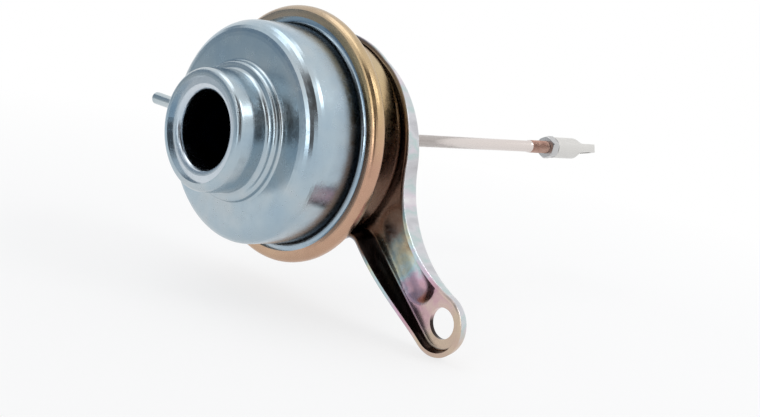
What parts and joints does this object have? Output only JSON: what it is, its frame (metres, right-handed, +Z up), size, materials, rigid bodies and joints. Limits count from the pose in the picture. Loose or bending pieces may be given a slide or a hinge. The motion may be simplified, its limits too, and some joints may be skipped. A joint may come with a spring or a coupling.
{
  "type": "wastegate actuator",
  "caption": "Vacuum canister actuator for a turbocharger wastegate: crimped cans with a diaphragm, spring and guided pull rod, on a stamped tray bracket with one eye.",
  "frame": {"origin": "centre of the bracket's mounting hole, in the middle of its sheet", "axes": "+X along the rod from the neck to the rod end and along the mounting hole, +Z up as pictured, +Y completes the right-handed frame and is the side of the hose nipple"},
  "size_m": [0.2052, 0.1302, 0.0961],
  "materials": {
    "zinc_blue": "bright blue-white zinc plating on drawn sheet steel",
    "zinc_gold": "pinkish gold passivated zinc plating on drawn sheet steel",
    "zinc_dark": "satin zinc plating, dull inside the bore",
    "zinc_bright": "bright zinc plating",
    "zinc_rainbow": "iridescent passivated zinc plating, pink, teal and gold",
    "bush_polymer": "filled bearing polymer",
    "black_rubber": "black nitrile rubber",
    "plain_steel": "plain pressed steel",
    "spring_steel": "phosphated spring steel",
    "rod_steel": "bright drawn steel with a faint warm passivation",
    "nut_steel": "satin zinc plating on machined steel"
  },
  "bodies": {
    "housing": {"front_can": "zinc_blue", "lower_can": "zinc_gold", "guide_cup": "zinc_dark", "hose_nipple": "zinc_bright", "bracket": "zinc_rainbow", "guide_collar": "zinc_gold", "rod_bush": "bush_polymer", "rod_wiper": "black_rubber", "wiper_cap": "zinc_bright", "stop_ring": "black_rubber", "diaphragm": "black_rubber", "spring": "spring_steel", "spring_seat": "spring_steel"},
    "pull_rod": {"rod": "rod_steel", "head_washer": "plain_steel", "rod_washer": "plain_steel", "piston_cup": "plain_steel", "backing_plate": "plain_steel"},
    "lock_nut_body": {"lock_nut": "nut_steel"},
    "rod_end_body": {"rod_end": "nut_steel"}
  },
  "joints": [
    {"name": "rod_slide", "type": "slide", "parent": "housing", "child": "pull_rod", "axis": [-1, 0, 0], "range_m": [0, 0.012], "stiffness_N_per_m": 2500, "springref_m": -0.006, "deforming": ["spring", "diaphragm"]},
    {"name": "lock_nut_run", "type": "slide", "parent": "pull_rod", "child": "lock_nut_body", "axis": [-1, 0, 0], "range_m": [0, 0.008]},
    {"name": "rod_end_adjust", "type": "slide", "parent": "pull_rod", "child": "rod_end_body", "axis": [1, 0, 0], "range_m": [0, 0.003]}
  ]
}
